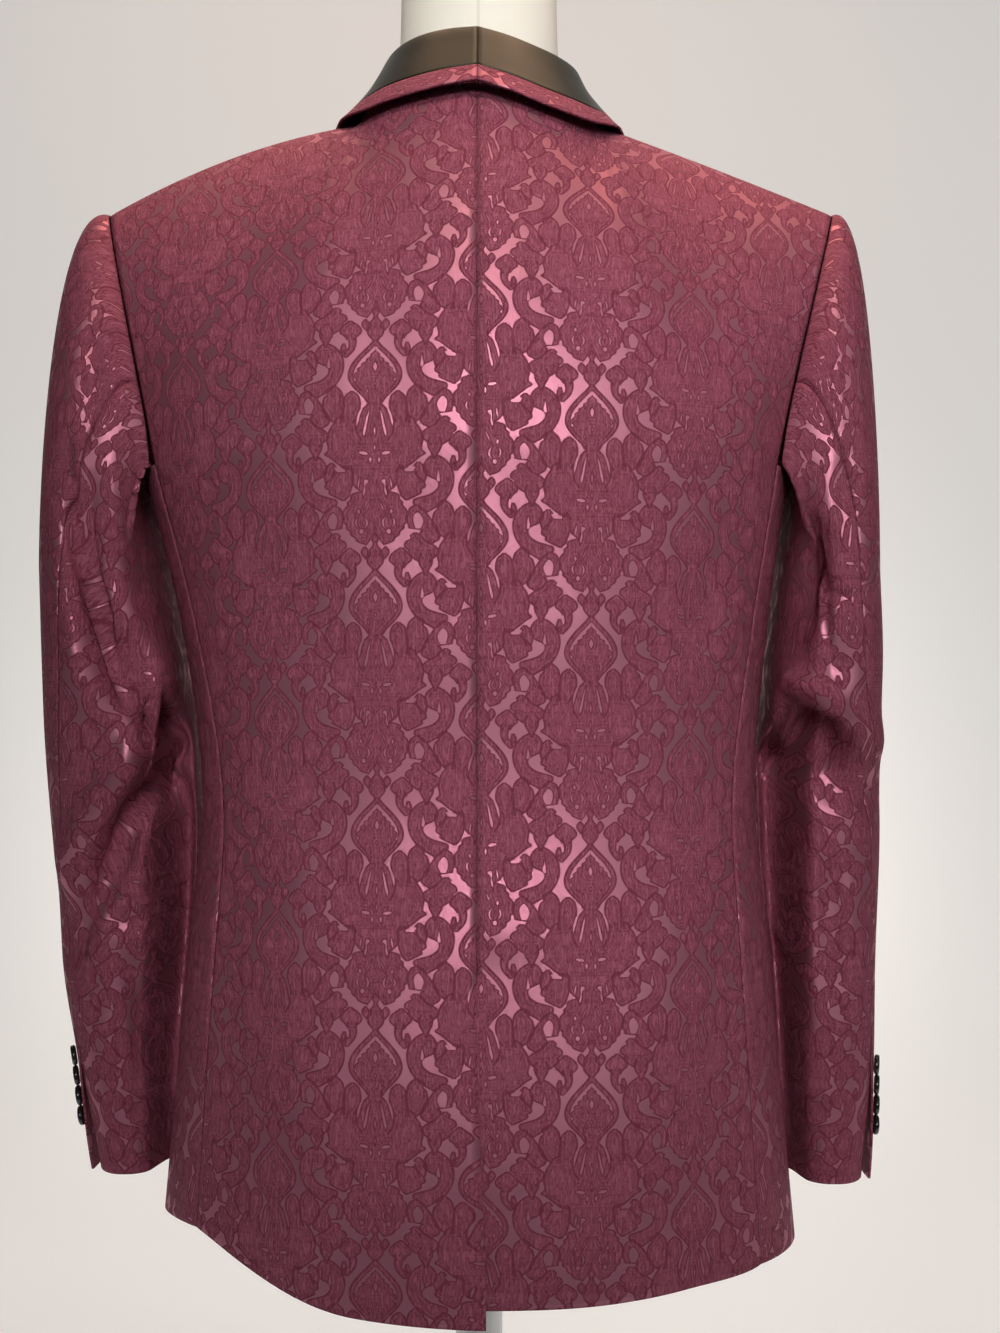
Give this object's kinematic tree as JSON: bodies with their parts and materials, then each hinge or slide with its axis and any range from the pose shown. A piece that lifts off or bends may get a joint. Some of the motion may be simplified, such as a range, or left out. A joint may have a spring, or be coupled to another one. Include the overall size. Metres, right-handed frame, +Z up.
{
  "type": "dinner jacket on a dress form",
  "caption": "Damask dinner jacket with a satin shawl collar, centre vent and buttoned cuffs, worn by a limbless dress form on a plain round stand.",
  "frame": {"origin": "centre of the underside of the stand's round base", "axes": "+Z up along the post, the jacket's back faces -Y and its front +Y, +X is the wearer's right"},
  "size_m": [0.5721, 0.33, 1.055],
  "materials": {
    "damask": "burgundy silk damask, matte figure on a satin ground",
    "satin": "black satin",
    "button_black": "polished black",
    "jersey": "off-white jersey cover",
    "stand_metal": "satin grey"
  },
  "bodies": {
    "root": {"back_left": "damask", "back_right": "damask", "front_left": "damask", "front_right": "damask", "top_sleeve_left": "damask", "top_sleeve_right": "damask", "under_sleeve_left": "damask", "under_sleeve_right": "damask", "shawl_left": "satin", "shawl_right": "satin", "trim_left": "damask", "trim_right": "damask", "cuff_button_left_1": "button_black", "cuff_button_left_2": "button_black", "cuff_button_left_3": "button_black", "cuff_button_left_4": "button_black", "cuff_button_right_1": "button_black", "cuff_button_right_2": "button_black", "cuff_button_right_3": "button_black", "cuff_button_right_4": "button_black", "front_button": "button_black", "dress_form": "jersey", "post": "stand_metal", "base": "stand_metal"}
  },
  "joints": []
}
